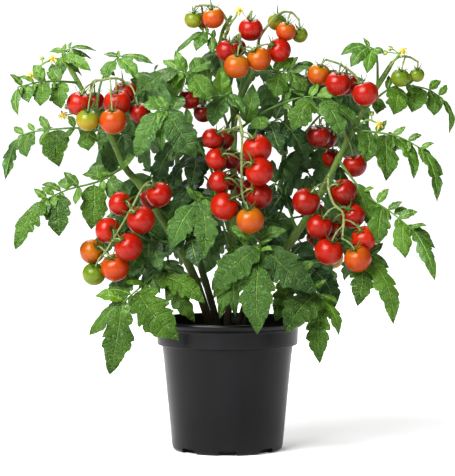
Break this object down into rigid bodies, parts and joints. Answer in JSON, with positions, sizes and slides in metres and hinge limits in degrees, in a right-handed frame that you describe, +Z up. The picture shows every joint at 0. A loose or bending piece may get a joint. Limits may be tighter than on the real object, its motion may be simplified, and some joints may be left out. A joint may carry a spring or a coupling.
{
  "type": "cherry tomato plant in a pot",
  "caption": "Bushy cherry tomato plant with ripening fruit trusses, compound leaves and small yellow flowers, growing in a round black plastic nursery pot.",
  "frame": {"origin": "middle of the pot's flat underside", "axes": "+Z up along the pot's axis, -Y towards the plant's front, +X to the right seen from the front"},
  "size_m": [0.4529, 0.2535, 0.4455],
  "materials": {
    "pot": "satin black moulded plastic",
    "soil": "crumbly dark potting soil",
    "stem": "green stem, browner near the soil",
    "leaf": "soft matt green leaf with pale veins",
    "truss": "glossy fruit skin from green to red, on a matt green stalk",
    "flower": "thin yellow petals on a green stalk"
  },
  "bodies": {
    "root": {"pot": "pot", "stem_centre": "stem", "stem_left": "stem", "stem_right": "stem", "stem_back_left": "stem", "stem_back_right": "stem", "stem_top": "stem", "soil": "soil", "truss_top_left": "truss", "truss_top": "truss", "truss_top_right": "truss", "truss_right_upper": "truss", "truss_far_right": "truss", "truss_left_upper": "truss", "truss_left_hidden": "truss", "truss_centre": "truss", "truss_left_lower": "truss", "truss_right_lower": "truss", "truss_right_hidden": "truss", "truss_back_left": "truss", "truss_back_right": "truss", "truss_back_centre": "truss", "leaf_far_left_upper": "leaf", "leaf_left_tip": "leaf", "leaf_left_crown": "leaf", "leaf_centre_left_upper": "leaf", "leaf_centre_left_lower": "leaf", "leaf_left_middle": "leaf", "leaf_far_left": "leaf", "leaf_left_low": "leaf", "leaf_front": "leaf", "leaf_front_left": "leaf", "leaf_right_low": "leaf", "leaf_right_drop": "leaf", "leaf_right_middle": "leaf", "leaf_far_right": "leaf", "leaf_far_right_upper": "leaf", "leaf_right_crown": "leaf", "leaf_centre_right": "leaf", "leaf_top_right": "leaf", "leaf_centre": "leaf", "leaf_top_left": "leaf", "shoot_rear_left_low": "leaf", "shoot_rear_left_middle": "leaf", "shoot_rear_left_high": "leaf", "shoot_rear_left_tip": "leaf", "shoot_rear_right_low": "leaf", "shoot_rear_right_middle": "leaf", "shoot_rear_right_high": "leaf", "shoot_rear_right_tip": "leaf", "shoot_rear_centre": "leaf", "shoot_rear_low": "leaf", "shoot_inner_left": "leaf", "shoot_inner_centre": "leaf", "shoot_inner_right": "leaf", "spray_left": "flower", "spray_left_middle": "flower", "spray_top": "flower", "spray_right": "flower", "spray_right_middle": "flower"}
  },
  "joints": []
}
